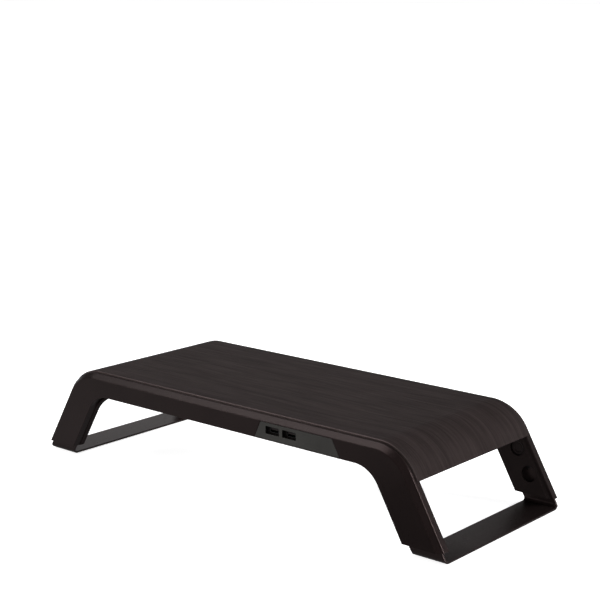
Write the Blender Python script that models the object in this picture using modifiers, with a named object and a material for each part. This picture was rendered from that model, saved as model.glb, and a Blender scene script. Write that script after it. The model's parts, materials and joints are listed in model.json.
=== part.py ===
"""Monitor riser stand: a bent wood-laminate deck on two moulded arch frames, with a two-port
USB hub in the front rail and two steel feet that slide out of the hollow legs.

Axes: X runs along the deck, -Y is the front, +Z is up. The origin is on the desk surface,
midway between the feet and midway between the frames. Lengths are in metres.
"""
import math

import bmesh
import bpy
from mathutils import Vector

MM = 0.001

# --- driving dimensions -------------------------------------------------------------------
FOOT_SPAN = 640 * MM          # outer edge of one foot to outer edge of the other
FRAME_DEPTH = 250 * MM        # front face of the front frame to rear face of the rear frame
FRAME_TOP = 119.8 * MM        # top line of both frames
DECK_RISE = 2.2 * MM          # the deck stands this much proud of the frames
DECK_THICKNESS = 5 * MM
DECK_HALF_DEPTH = 114.2 * MM
DECK_EDGE = 1 * MM            # rounding of the deck's edges
DECK_END_Z = 85.2 * MM        # how far down the legs the deck reaches
RAIL_BOTTOM = 92.2 * MM       # underside of the frames' level stretch
LEG_ANGLE = math.radians(60)  # legs against the desk
LEG_SPREAD = 51.3 * MM        # width of a leg measured level
LEG_BOTTOM = 14.5 * MM        # lower end of the moulded legs
OUTER_RADIUS = 54 * MM
INNER_RADIUS = 38 * MM
CHAMFER_RISE = 5.5 * MM       # chamfer on the frames' outer edge, in the plane of the face
CHAMFER_DEPTH = 7 * MM        # and along the depth
SHELL_DEPTH = 10.4 * MM       # outer moulding of a frame
FRAME_THICKNESS = 18 * MM     # outer moulding and inner cover together
WALL = 1.8 * MM
OUTER_WALL = 3 * MM           # the moulding's wall under its outer edge
GAP = 0.3 * MM                # between pieces that touch
OVERCUT = 1 * MM              # how far a cutter runs past the face it opens
EDGE_BREAK = 0.6 * MM         # small chamfer along the edges of the mouldings
COVER_CHAMFER = 2.9 * MM      # large one along the outer edge of a cover, in the plane of its face
COVER_CHAMFER_DEPTH = 5.4 * MM
COVER_LIP = 0.9 * MM          # a cover stands this much proud of the moulding along the inner edge
COVER_INNER_RADIUS = 52 * MM
ARC_STEPS = 10
BEND_STEPS = 6

PAD_HEIGHT = 1 * MM           # rubber under the feet
PAD_HALF_WIDTH = 17 * MM
PAD_Y = (82 * MM, 108 * MM)
PLATE = 2.5 * MM              # steel of the feet
BEND_RADIUS = 7 * MM          # outside of the bends in the feet
LEAN_Z = 5 * MM               # a neck leans from this height up
NECK_SETBACK = 7.2 * MM       # frame face to the face of the neck inside it
NECK_TOP = 83 * MM
HEIGHT_STEP = 34 * MM         # travel of a foot, and the spacing of the two windows

WINDOW_RADIUS = 10 * MM
WINDOW_Z = 68.7 * MM          # upper window, where the button sits in the low position
WINDOW_X = 267.2 * MM
BUTTON_RADIUS = 9.2 * MM
BUTTON_THICKNESS = 3 * MM
SPRING_SHEET = 0.4 * MM
SPRING_WIDTH = 9 * MM
SPRING_BLADE = (-28 * MM, 8 * MM)   # its two ends, measured up the leg from the button
SPRING_RISE = (-16 * MM, -8 * MM)   # the stretch that slopes up to the button
RIVET_RADIUS = 1.5 * MM
RIVET_HEAD_RADIUS = 2.4 * MM
RIVET_HEAD = 0.9 * MM
RIVET_DOWN = 22 * MM          # from the button's centre down the leg to the rivet
BUTTON_FLANGE = 1.2 * MM      # radius and thickness of the rim that holds a button in

FASCIA_BOTTOM_Z = 93 * MM
FASCIA_TOP_Z = 113.4 * MM
FASCIA_BOTTOM_X = (53 * MM, 180 * MM)
FASCIA_TOP_X = (62 * MM, 169 * MM)
FASCIA_TOP_RADIUS = 3 * MM
FASCIA_BOTTOM_RADIUS = 1 * MM
PORT_X = (80.5 * MM, 106 * MM)
PORT_Z = 104.6 * MM
RECESS = (20.6 * MM, 9.2 * MM)
RECESS_DEPTH = 4.2 * MM
RECESS_WALL = 1.2 * MM
RECESS_FLOOR = 1.4 * MM
SOCKET = (13.1 * MM, 5.7 * MM)
SOCKET_DEPTH = 9.3 * MM
SOCKET_SHEET = 0.35 * MM
TONGUE = (11.2 * MM, 1.9 * MM)
TONGUE_RISE = 1 * MM
TONGUE_SETBACK = 0.8 * MM
BOARD_X = (64 * MM, 168 * MM)
BOARD_Z = (95.2 * MM, 112.4 * MM)
BOARD_THICKNESS = 1.6 * MM
UPLINK_X = 150 * MM
UPLINK = (7.8 * MM, 3.2 * MM)
UPLINK_FLOOR = 0.6 * MM
COLLAR = (14 * MM, 9 * MM)
COLLAR_DEPTH = 2.4 * MM

RAIL_X = (-180 * MM, 0.0, 180 * MM)
RAIL_WIDTH = 30 * MM
RAIL_HEIGHT = 15 * MM
RAIL_SHEET = 1.5 * MM
SCREW_RADIUS = 1.6 * MM
SCREW_HEAD_RADIUS = 3.2 * MM
SCREW_HEAD = 1.7 * MM
RAIL_SCREW_LENGTH = 12 * MM
COVER_SCREW_LENGTH = 9.5 * MM
DECK_SCREW_LENGTH = 5 * MM
BOSS_RADIUS = 3.6 * MM
COVER_SCREW_X = {"front": (-90 * MM, 36 * MM), "rear": (-90 * MM, 90 * MM)}
CORNER_SCREW = (238 * MM, 101 * MM)
DECK_SCREW_Y = 60 * MM
DECK_PILOT_DEPTH = 3 * MM

# --- derived places -----------------------------------------------------------------------
COT = 1 / math.tan(LEG_ANGLE)
SIN = math.sin(LEG_ANGLE)
HALF_DEPTH = FRAME_DEPTH / 2
BEND_Z = PAD_HEIGHT + BEND_RADIUS
NECK_OUTER_INSET = OUTER_WALL + GAP
NECK_INNER_INSET = WALL + GAP
LEG_OUTER_X = FOOT_SPAN / 2 + LEAN_Z * COT + NECK_OUTER_INSET / SIN
LEG_INNER_X = LEG_OUTER_X - LEG_SPREAD
SHELL_BACK = HALF_DEPTH - SHELL_DEPTH
COVER_FRONT = SHELL_BACK - GAP
COVER_FACE = HALF_DEPTH - FRAME_THICKNESS
COVER_INSIDE = COVER_FACE + WALL
COVER_INSET = DECK_THICKNESS - DECK_RISE + GAP
NECK_FRONT = HALF_DEPTH - NECK_SETBACK
NECK_BACK = NECK_FRONT - PLATE
BUTTON_FACE = COVER_INSIDE + GAP
BUTTON_BACK = BUTTON_FACE + BUTTON_THICKNESS
RAIL_TOP_Z = FRAME_TOP - COVER_INSET
RAIL_LENGTH = 2 * (COVER_FACE - GAP)
RAIL_SCREW_Z = 108.5 * MM
MID_SCREW_Z = 104 * MM
HOLE_RADIUS = SCREW_RADIUS + GAP

SIDES = {"left": -1, "right": 1}
ENDS = {"front": -1, "rear": 1}

COLORS = {
    "wood": ((0.030, 0.026, 0.025), 0.55, 0.0),
    "shell_plastic": ((0.018, 0.017, 0.017), 0.42, 0.0),
    "cover_plastic": ((0.010, 0.009, 0.009), 0.55, 0.0),
    "foot_steel": ((0.022, 0.021, 0.021), 0.40, 0.6),
    "rail_steel": ((0.060, 0.060, 0.062), 0.45, 0.8),
    "rubber": ((0.012, 0.012, 0.012), 0.90, 0.0),
    "button_plastic": ((0.020, 0.019, 0.019), 0.50, 0.0),
    "spring_steel": ((0.100, 0.100, 0.110), 0.35, 1.0),
    "fascia_plastic": ((0.055, 0.054, 0.052), 0.35, 0.0),
    "socket_metal": ((0.120, 0.120, 0.125), 0.38, 1.0),
    "tongue_plastic": ((0.012, 0.012, 0.013), 0.45, 0.0),
    "circuit_board": ((0.012, 0.070, 0.030), 0.50, 0.0),
    "screw_steel": ((0.090, 0.090, 0.092), 0.38, 0.9),
}

for old in list(bpy.data.objects):
    bpy.data.objects.remove(old, do_unlink=True)

parts = bpy.data.collections.new("monitor_riser_stand")
cutters = bpy.data.collections.new("cutters")
bpy.context.scene.collection.children.link(parts)
bpy.context.scene.collection.children.link(cutters)


# --- helpers ------------------------------------------------------------------------------
def material(key):
    """The Principled material of that name, made the first time it is asked for."""
    found = bpy.data.materials.get(key)
    if found:
        return found
    color, roughness, metallic = COLORS[key]
    made = bpy.data.materials.new(key)
    made.use_nodes = True
    shader = made.node_tree.nodes["Principled BSDF"]
    shader.inputs["Base Color"].default_value = (*color, 1.0)
    shader.inputs["Roughness"].default_value = roughness
    shader.inputs["Metallic"].default_value = metallic
    made.diffuse_color = (*color, 1.0)
    return made


def add_part(name, mesh, finish, parent=None):
    """A named sub-part in the object's collection, with its own material."""
    mesh.materials.clear()
    mesh.materials.append(material(finish))
    obj = bpy.data.objects.new(name, mesh)
    parts.objects.link(obj)
    obj.parent = parent
    return obj


def add_cutter(name, mesh):
    """A shape that only cuts or joins others: drawn as wire and left out of the model."""
    obj = bpy.data.objects.new(name, mesh)
    cutters.objects.link(obj)
    obj.hide_render = True
    obj.display_type = "WIRE"
    return obj


def boolean(obj, tool, operation="DIFFERENCE"):
    step = obj.modifiers.new(tool.name, "BOOLEAN")
    step.operation = operation
    step.solver = "EXACT"
    step.object = tool


def mesh_from(bm, name):
    bm.normal_update()
    bmesh.ops.recalc_face_normals(bm, faces=bm.faces)
    mesh = bpy.data.meshes.new(name)
    bm.to_mesh(mesh)
    bm.free()
    return mesh


def box_mesh(name, boxes):
    """Closed boxes, each given by its low and high corner."""
    bm = bmesh.new()
    for low, high in boxes:
        made = bmesh.ops.create_cube(bm, size=1.0)["verts"]
        low, high = Vector(low), Vector(high)
        for vert in made:
            vert.co = Vector(((low[i] + high[i]) / 2 + vert.co[i] * (high[i] - low[i]) for i in range(3)))
    return mesh_from(bm, name)


def rods_along_y(name, centres, radius, low_y, high_y, segments=16):
    """Closed cylinders along Y at (x, z) centres."""
    bm = bmesh.new()
    for x, z in centres:
        made = bmesh.ops.create_cone(bm, cap_ends=True, segments=segments, radius1=radius,
                                     radius2=radius, depth=high_y - low_y)["verts"]
        for vert in made:
            vert.co = Vector((x + vert.co.x, (low_y + high_y) / 2 + vert.co.z, z + vert.co.y))
    return mesh_from(bm, name)


def rods_along_z(name, centres, radius, low_z, high_z, segments=12):
    """Closed cylinders along Z at (x, y) centres."""
    bm = bmesh.new()
    for x, y in centres:
        made = bmesh.ops.create_cone(bm, cap_ends=True, segments=segments, radius1=radius,
                                     radius2=radius, depth=high_z - low_z)["verts"]
        bmesh.ops.translate(bm, verts=made, vec=(x, y, (low_z + high_z) / 2))
    return mesh_from(bm, name)


def span(end, near, far):
    """The two Y values on one end of the stand, lowest first. near and far are depths."""
    return tuple(sorted((end * near, end * far)))


def bent_path(height, foot_x, radius, foot_z):
    """A level line at height, rounded down both legs to foot_z; foot_x is the leg at desk level."""
    centre_x = foot_x - height * COT - radius * math.tan(LEG_ANGLE / 2)
    right = []
    for step in range(ARC_STEPS + 1):
        angle = math.pi / 2 - LEG_ANGLE * step / ARC_STEPS
        right.append((centre_x + radius * math.cos(angle), height - radius + radius * math.sin(angle)))
    right.append((foot_x - foot_z * COT, foot_z))
    left = [(-x, z) for x, z in reversed(right)]
    return left + right


def frame_outline(outer_inset, inner_inset, foot_z):
    """The arch of a frame, drawn in from its outer and inner edges."""
    outer = bent_path(FRAME_TOP - outer_inset, LEG_OUTER_X - outer_inset / SIN,
                      OUTER_RADIUS - outer_inset, foot_z)
    inner = bent_path(RAIL_BOTTOM + inner_inset, LEG_INNER_X + inner_inset / SIN,
                      INNER_RADIUS + inner_inset, foot_z)
    return outer + inner[::-1]


def cover_outline(outer_inset, inner_inset, foot_z):
    """The arch of a cover: its inner edge has a lip and a wider radius than the moulding's."""
    outer = frame_outline(outer_inset, 0.0, foot_z)[:2 * (ARC_STEPS + 2)]
    inset = inner_inset - COVER_LIP
    inner = bent_path(RAIL_BOTTOM + inset, LEG_INNER_X + inset / SIN, COVER_INNER_RADIUS + inner_inset,
                      foot_z)
    return outer + inner[::-1]


def loft(name, sections):
    """A closed solid through outlines in XZ, each at its own Y."""
    bm = bmesh.new()
    rings = []
    for y, outline in sections:
        rings.append([bm.verts.new((x, y, z)) for x, z in outline])
    for ring, following in zip(rings, rings[1:]):
        for i in range(len(ring)):
            j = (i + 1) % len(ring)
            bm.faces.new((ring[i], ring[j], following[j], following[i]))
    bm.faces.new(rings[0])
    bm.faces.new(rings[-1])
    return mesh_from(bm, name)


def plate_mesh(name, outline, thickness):
    """A flat outline in local XY, thickened evenly to both sides, as a welded mesh."""
    flat = bpy.data.curves.new(name, "CURVE")
    flat.dimensions = "2D"
    flat.fill_mode = "BOTH"
    flat.extrude = thickness / 2
    spline = flat.splines.new("POLY")
    spline.points.add(len(outline) - 1)
    for point, (x, y) in zip(spline.points, outline):
        point.co = (x, y, 0.0, 1.0)
    spline.use_cyclic_u = True
    curve = bpy.data.objects.new(name, flat)
    cutters.objects.link(curve)
    evaluated = curve.evaluated_get(bpy.context.evaluated_depsgraph_get())
    mesh = bpy.data.meshes.new_from_object(evaluated)
    bpy.data.objects.remove(curve, do_unlink=True)
    bm = bmesh.new()
    bm.from_mesh(mesh)
    bmesh.ops.remove_doubles(bm, verts=bm.verts, dist=1e-6)
    bpy.data.meshes.remove(mesh)
    return mesh_from(bm, name)


def soften(obj, width, segments=2):
    """Round the sharp edges of a piece."""
    step = obj.modifiers.new("edges", "BEVEL")
    step.width = width
    step.segments = segments
    step.limit_method = "ANGLE"
    step.angle_limit = math.radians(40)


def smooth(obj, angle=35):
    obj.data.shade_smooth()
    obj.data.set_sharp_from_angle(angle=math.radians(angle))


def turned_mesh(name, profile, steps):
    """A profile of (radius, height) points from top to bottom, turned about local Z."""
    mesh = bpy.data.meshes.new(name)
    points = [(radius, 0.0, height) for radius, height in profile]
    mesh.from_pydata(points, [(i, i + 1) for i in range(len(points) - 1)], [])
    blank = bpy.data.objects.new(name, mesh)
    cutters.objects.link(blank)
    turn = blank.modifiers.new("turn", "SCREW")
    turn.steps = steps
    turn.render_steps = steps
    turn.use_merge_vertices = True
    turn.merge_threshold = 1e-5
    evaluated = blank.evaluated_get(bpy.context.evaluated_depsgraph_get())
    made = bpy.data.meshes.new_from_object(evaluated)
    bpy.data.objects.remove(blank, do_unlink=True)
    bpy.data.meshes.remove(mesh)
    made.name = name
    made.shade_smooth()
    made.set_sharp_from_angle(angle=math.radians(35))
    return made


# --- screws -------------------------------------------------------------------------------
def screw_mesh(name, length):
    """A button-head screw along local Z, head up, with its bearing face at Z = 0."""
    socket_floor = 0.3 * SCREW_HEAD
    profile = [(0.0, socket_floor), (1.1 * MM, socket_floor), (1.2 * MM, SCREW_HEAD),
               (2.3 * MM, SCREW_HEAD * 0.8), (SCREW_HEAD_RADIUS, 0.0), (SCREW_RADIUS, 0.0),
               (SCREW_RADIUS, -length), (0.0, -length)]
    return turned_mesh(name, profile, 12)


def frame_screw_places(end_name):
    """(x, z, depth of the bearing face) of the screws that close one frame."""
    corner_x, corner_z = CORNER_SCREW
    places = [(x, RAIL_SCREW_Z, COVER_FACE - GAP - RAIL_SHEET - GAP) for x in RAIL_X]
    places += [(x, MID_SCREW_Z, COVER_FACE - GAP) for x in COVER_SCREW_X[end_name]]
    places += [(x, corner_z, COVER_FACE - GAP) for x in (-corner_x, corner_x)]
    return places


def build_screws():
    rail_type = screw_mesh("rail_screw", RAIL_SCREW_LENGTH)
    cover_type = screw_mesh("cover_screw", COVER_SCREW_LENGTH)
    deck_type = screw_mesh("deck_screw", DECK_SCREW_LENGTH)
    for end_name, end in ENDS.items():
        counts = {"rail": 0, "cover": 0}
        for index, (x, z, depth) in enumerate(frame_screw_places(end_name)):
            kind = "rail" if index < len(RAIL_X) else "cover"
            counts[kind] += 1
            name = f"{kind}_screw_{end_name}_{counts[kind]}"
            obj = add_part(name, rail_type if kind == "rail" else cover_type, "screw_steel")
            obj.location = (x, end * depth, z)
            obj.rotation_euler = (end * math.pi / 2, 0.0, 0.0)
    for index, x in enumerate(RAIL_X):
        for end_name, end in ENDS.items():
            obj = add_part(f"deck_screw_{end_name}_{index + 1}", deck_type, "screw_steel")
            obj.location = (x, end * DECK_SCREW_Y, RAIL_TOP_Z - RAIL_SHEET - GAP)
            obj.rotation_euler = (math.pi, 0.0, 0.0)


# --- deck ---------------------------------------------------------------------------------
def build_deck():
    """Bent laminate: level in the middle, running down both pairs of legs."""
    outer = bent_path(FRAME_TOP + DECK_RISE, LEG_OUTER_X + DECK_RISE / SIN,
                      OUTER_RADIUS + DECK_RISE, DECK_END_Z)
    under = DECK_THICKNESS - DECK_RISE
    inner = bent_path(FRAME_TOP - under, LEG_OUTER_X - under / SIN, OUTER_RADIUS - under,
                      DECK_END_Z - DECK_THICKNESS * math.cos(LEG_ANGLE))
    board = plate_mesh("deck_panel", outer + inner[::-1], 2 * DECK_HALF_DEPTH)
    deck = add_part("deck_panel", board, "wood")
    deck.rotation_euler = (math.pi / 2, 0.0, 0.0)
    soften(deck, DECK_EDGE)
    centres = [(x, end * DECK_SCREW_Y) for x in RAIL_X for end in ENDS.values()]
    pilots = rods_along_z("deck_pilot_holes", centres, HOLE_RADIUS, FRAME_TOP - under - OVERCUT,
                          FRAME_TOP - under + DECK_PILOT_DEPTH)
    boolean(deck, add_cutter("deck_pilot_holes", pilots))
    smooth(deck)


# --- frames -------------------------------------------------------------------------------
def window_places():
    """(x, z) of the two windows in each leg: the second lies one height step down the leg."""
    down = (HEIGHT_STEP * math.cos(LEG_ANGLE), -HEIGHT_STEP * SIN)
    upper = (WINDOW_X, WINDOW_Z)
    lower = (WINDOW_X + down[0], WINDOW_Z + down[1])
    return [(side * x, z) for side in SIDES.values() for x, z in (upper, lower)]


def build_frame_shell(end_name, end):
    """Outer moulding: open channel with a chamfered outer edge and a boss for every screw."""
    face = end * HALF_DEPTH
    back = end * SHELL_BACK
    broken_rise = CHAMFER_RISE * (1 - EDGE_BREAK / CHAMFER_DEPTH)
    body = loft(f"{end_name}_frame_shell", [
        (face, frame_outline(CHAMFER_RISE, EDGE_BREAK, LEG_BOTTOM)),
        (end * (HALF_DEPTH - EDGE_BREAK), frame_outline(broken_rise, 0.0, LEG_BOTTOM)),
        (end * (HALF_DEPTH - CHAMFER_DEPTH), frame_outline(0.0, 0.0, LEG_BOTTOM)),
        (back, frame_outline(0.0, 0.0, LEG_BOTTOM)),
    ])
    shell = add_part(f"{end_name}_frame_shell", body, "shell_plastic")
    open_z = LEG_BOTTOM - OVERCUT
    pocket = loft(f"{end_name}_shell_pocket", [
        (end * (HALF_DEPTH - WALL), frame_outline(CHAMFER_RISE + WALL, WALL, open_z)),
        (end * (HALF_DEPTH - CHAMFER_DEPTH), frame_outline(OUTER_WALL, WALL, open_z)),
        (end * (SHELL_BACK - OVERCUT), frame_outline(OUTER_WALL, WALL, open_z)),
    ])
    boolean(shell, add_cutter(f"{end_name}_shell_pocket", pocket))
    centres = [(x, z) for x, z, _ in frame_screw_places(end_name)]
    low, high = span(end, COVER_INSIDE + GAP, HALF_DEPTH - WALL / 2)
    bosses = rods_along_y(f"{end_name}_bosses", centres, BOSS_RADIUS, low, high)
    boolean(shell, add_cutter(f"{end_name}_bosses", bosses), "UNION")
    low, high = span(end, COVER_INSIDE - OVERCUT, HALF_DEPTH - WALL)
    pilots = rods_along_y(f"{end_name}_boss_holes", centres, HOLE_RADIUS, low, high, 12)
    boolean(shell, add_cutter(f"{end_name}_boss_holes", pilots))
    smooth(shell)
    return shell


def build_frame_cover(end_name, end):
    """Inner cover: a shallow tray that closes the channel, with two lock windows in each leg."""
    chamfer_inset = COVER_INSET + COVER_CHAMFER
    chamfer_start = COVER_FACE + EDGE_BREAK + COVER_CHAMFER_DEPTH
    body = loft(f"{end_name}_frame_cover", [
        (end * COVER_FRONT, cover_outline(COVER_INSET, 0.0, LEG_BOTTOM)),
        (end * chamfer_start, cover_outline(COVER_INSET, 0.0, LEG_BOTTOM)),
        (end * (COVER_FACE + EDGE_BREAK), cover_outline(chamfer_inset, 0.0, LEG_BOTTOM)),
        (end * COVER_FACE, cover_outline(chamfer_inset + EDGE_BREAK, EDGE_BREAK, LEG_BOTTOM)),
    ])
    cover = add_part(f"{end_name}_frame_cover", body, "cover_plastic")
    closed_z = LEG_BOTTOM + WALL
    pocket = loft(f"{end_name}_cover_pocket", [
        (end * (COVER_FRONT + OVERCUT), cover_outline(COVER_INSET + WALL, WALL, closed_z)),
        (end * (chamfer_start + EDGE_BREAK), cover_outline(COVER_INSET + WALL, WALL, closed_z)),
        (end * COVER_INSIDE, cover_outline(chamfer_inset + OVERCUT, WALL, closed_z)),
    ])
    boolean(cover, add_cutter(f"{end_name}_cover_pocket", pocket))
    low, high = span(end, COVER_FACE - OVERCUT, COVER_INSIDE + OVERCUT)
    windows = rods_along_y(f"{end_name}_windows", window_places(), WINDOW_RADIUS, low, high, 32)
    boolean(cover, add_cutter(f"{end_name}_windows", windows))
    centres = [(x, z) for x, z, _ in frame_screw_places(end_name)]
    holes = rods_along_y(f"{end_name}_cover_holes", centres, HOLE_RADIUS, low, high, 12)
    boolean(cover, add_cutter(f"{end_name}_cover_holes", holes))
    smooth(cover)
    return cover


# --- USB hub ------------------------------------------------------------------------------
def rounded(corners, radii, steps=5):
    """A polygon's outline with each corner rounded to its own radius."""
    outline = []
    for i, (corner, radius) in enumerate(zip(corners, radii)):
        here = Vector(corner)
        back = (Vector(corners[i - 1]) - here).normalized()
        ahead = (Vector(corners[(i + 1) % len(corners)]) - here).normalized()
        half = back.angle(ahead) / 2
        centre = here + (back + ahead).normalized() * radius / math.sin(half)
        start = here + back * radius / math.tan(half) - centre
        finish = here + ahead * radius / math.tan(half) - centre
        for step in range(steps + 1):
            outline.append(tuple(centre + start.slerp(finish, step / steps) * radius))
    return outline


def fascia_outline(clearance):
    """The trapezoid of the hub's fascia, drawn in by a clearance."""
    low_left, low_right = FASCIA_BOTTOM_X
    top_left, top_right = FASCIA_TOP_X
    corners = [(low_left + 1.5 * clearance, FASCIA_BOTTOM_Z + clearance),
               (low_right - 1.5 * clearance, FASCIA_BOTTOM_Z + clearance),
               (top_right - clearance, FASCIA_TOP_Z - clearance),
               (top_left + clearance, FASCIA_TOP_Z - clearance)]
    low = FASCIA_BOTTOM_RADIUS - clearance
    top = FASCIA_TOP_RADIUS - clearance
    return rounded(corners, (low, low, top, top))


def around(x, z, size, low_y, high_y, margin=0.0):
    """Low and high corner of a box centred on (x, z) in the face, grown by a margin."""
    half_x = size[0] / 2 + margin
    half_z = size[1] / 2 + margin
    return ((x - half_x, low_y, z - half_z), (x + half_x, high_y, z + half_z))


def cut_box(obj, name, low_high):
    """Take a box out of a piece."""
    boolean(obj, add_cutter(name, box_mesh(name, [low_high])))


def build_fascia(front_shell):
    """Trapezoid insert in the front rail, with a recess and a mouth for each port."""
    face = -HALF_DEPTH
    opening = loft("fascia_opening", [(face - OVERCUT, fascia_outline(0.0)),
                                      (face + WALL + OVERCUT, fascia_outline(0.0))])
    boolean(front_shell, add_cutter("fascia_opening", opening))
    fascia = add_part("hub_fascia", loft("hub_fascia", [
        (face, fascia_outline(2 * GAP)),
        (face + GAP, fascia_outline(GAP)),
        (face + WALL, fascia_outline(GAP)),
    ]), "fascia_plastic")
    floor = face + RECESS_DEPTH
    wells = [around(x, PORT_Z, RECESS, face + WALL / 2, floor + RECESS_FLOOR, RECESS_WALL) for x in PORT_X]
    boolean(fascia, add_cutter("port_wells", box_mesh("port_wells", wells)), "UNION")
    for side_name, x in zip(SIDES, PORT_X):
        cut_box(fascia, f"port_recess_{side_name}", around(x, PORT_Z, RECESS, face - OVERCUT, floor))
        cut_box(fascia, f"port_mouth_{side_name}",
                around(x, PORT_Z, SOCKET, floor - OVERCUT, floor + RECESS_FLOOR + OVERCUT, GAP))


def build_sockets(front, back):
    """USB-A sockets: a pressed sleeve round a tongue, both from the recess back to the board."""
    for side_name, x in zip(SIDES, PORT_X):
        name = f"usb_socket_{side_name}"
        sleeve = add_part(name, box_mesh(name, [around(x, PORT_Z, SOCKET, front, back)]), "socket_metal")
        cut_box(sleeve, f"usb_bore_{side_name}",
                around(x, PORT_Z, SOCKET, front - OVERCUT, back + OVERCUT, -SOCKET_SHEET))
        name = f"usb_tongue_{side_name}"
        tongue = box_mesh(name, [around(x, PORT_Z + TONGUE_RISE, TONGUE, front + TONGUE_SETBACK, back)])
        add_part(name, tongue, "tongue_plastic")


def build_uplink(front_cover, front):
    """Inlet for the computer's cable, through the front frame's cover, and the collar round it."""
    back = COLLAR_DEPTH - COVER_FACE
    cut_box(front_cover, "uplink_hole",
            around(UPLINK_X, PORT_Z, UPLINK, -COVER_INSIDE - OVERCUT, -COVER_FACE + OVERCUT, GAP))
    sleeve = box_mesh("uplink_inlet", [around(UPLINK_X, PORT_Z, UPLINK, front, back)])
    inlet = add_part("uplink_inlet", sleeve, "socket_metal")
    cut_box(inlet, "uplink_bore",
            around(UPLINK_X, PORT_Z, UPLINK, front + UPLINK_FLOOR, back + OVERCUT, -SOCKET_SHEET))
    ring = box_mesh("uplink_collar", [around(UPLINK_X, PORT_Z, COLLAR, GAP - COVER_FACE, back)])
    collar = add_part("uplink_collar", ring, "cover_plastic")
    cut_box(collar, "uplink_collar_bore",
            around(UPLINK_X, PORT_Z, UPLINK, -COVER_FACE - OVERCUT, back + OVERCUT, GAP))


def build_hub(front_shell, front_cover):
    build_fascia(front_shell)
    socket_front = RECESS_DEPTH - HALF_DEPTH
    socket_back = socket_front + SOCKET_DEPTH
    build_sockets(socket_front, socket_back)
    board_front = socket_back + GAP
    board_back = board_front + BOARD_THICKNESS
    low = (BOARD_X[0], board_front, BOARD_Z[0])
    high = (BOARD_X[1], board_back, BOARD_Z[1])
    board = box_mesh("hub_board", [(low, high)])
    add_part("hub_board", board, "circuit_board")
    build_uplink(front_cover, board_back + GAP)


# --- cross rails --------------------------------------------------------------------------
def build_rails():
    """Pressed steel trays, open below, that tie the two frames together under the deck."""
    half = RAIL_LENGTH / 2
    low_z = RAIL_TOP_Z - RAIL_HEIGHT
    inner_half = RAIL_WIDTH / 2 - RAIL_SHEET
    for place, x in zip(("left", "centre", "right"), RAIL_X):
        name = f"cross_rail_{place}"
        tray = box_mesh(name, [((x - RAIL_WIDTH / 2, -half, low_z), (x + RAIL_WIDTH / 2, half, RAIL_TOP_Z))])
        rail = add_part(name, tray, "rail_steel")
        cut_box(rail, f"{name}_inside", ((x - inner_half, RAIL_SHEET - half, low_z - OVERCUT),
                                         (x + inner_half, half - RAIL_SHEET, RAIL_TOP_Z - RAIL_SHEET)))
        ends = rods_along_y(f"{name}_end_holes", [(x, RAIL_SCREW_Z)], HOLE_RADIUS,
                            -half - OVERCUT, half + OVERCUT, 12)
        boolean(rail, add_cutter(f"{name}_end_holes", ends))
        tops = rods_along_z(f"{name}_top_holes", [(x, end * DECK_SCREW_Y) for end in ENDS.values()],
                            HOLE_RADIUS, RAIL_TOP_Z - RAIL_SHEET - OVERCUT, RAIL_TOP_Z + OVERCUT)
        boolean(rail, add_cutter(f"{name}_top_holes", tops))


# --- feet ---------------------------------------------------------------------------------
def foot_profile():
    """Side view (y, z) of the bent plate: up one neck, along the floor, up the other."""
    points = []
    for radius, shift in ((BEND_RADIUS, 0.0), (BEND_RADIUS - PLATE, PLATE)):
        front = [(-(NECK_FRONT - shift), NECK_TOP)]
        for step in range(BEND_STEPS + 1):
            angle = math.pi + math.pi / 2 * step / BEND_STEPS
            front.append((-(NECK_FRONT - BEND_RADIUS) + radius * math.cos(angle),
                          BEND_Z + radius * math.sin(angle)))
        path = front + [(-y, z) for y, z in reversed(front)]
        points += path if shift == 0.0 else path[::-1]
    return points


def build_foot(side_name, side, slide):
    """Steel plate bent to a U; from the bends up it leans with the leg."""
    outer_x = FOOT_SPAN / 2
    width = LEG_SPREAD - (NECK_OUTER_INSET + NECK_INNER_INSET) / SIN
    mesh = plate_mesh(f"foot_{side_name}", foot_profile(), width)
    centre = outer_x - width / 2
    for vert in mesh.vertices:
        y, z, across = vert.co
        lean = max(0.0, z - LEAN_Z) * COT
        vert.co = (side * (centre + across - lean), y, z)
    if side < 0:
        mesh.flip_normals()
    foot = add_part(f"foot_{side_name}", mesh, "foot_steel", slide)
    foot.matrix_parent_inverse = slide.matrix_world.inverted()
    holes = rods_along_y(f"foot_{side_name}_holes", [rivet_places(side)], RIVET_RADIUS + GAP,
                         -NECK_FRONT - OVERCUT, NECK_FRONT + OVERCUT, 12)
    boolean(foot, add_cutter(f"foot_{side_name}_holes", holes))
    smooth(foot)
    for end_name, end in ENDS.items():
        low_y, high_y = span(end, *PAD_Y)
        pad = box_mesh(f"foot_pad_{side_name}_{end_name}", [
            ((centre - PAD_HALF_WIDTH, low_y, 0.0), (centre + PAD_HALF_WIDTH, high_y, PAD_HEIGHT - GAP))])
        for vert in pad.vertices:
            vert.co.x *= side
        if side < 0:
            pad.flip_normals()
        obj = add_part(f"foot_pad_{side_name}_{end_name}", pad, "rubber", slide)
        obj.matrix_parent_inverse = slide.matrix_world.inverted()


# --- height locks -------------------------------------------------------------------------
def button_mesh():
    """Flanged push button with a dished face, axis on local Z, face up at Z = 0."""
    flange_top = BUTTON_FLANGE - BUTTON_THICKNESS
    flange_edge = BUTTON_RADIUS + BUTTON_FLANGE
    profile = [(0.0, -0.9 * MM), (5.4 * MM, -0.7 * MM), (6.6 * MM, -0.05 * MM), (7.4 * MM, 0.0),
               (BUTTON_RADIUS, -0.5 * MM), (BUTTON_RADIUS, flange_top), (flange_edge, flange_top),
               (flange_edge, -BUTTON_THICKNESS), (0.0, -BUTTON_THICKNESS)]
    return turned_mesh("lock_button", profile, 24)


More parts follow.
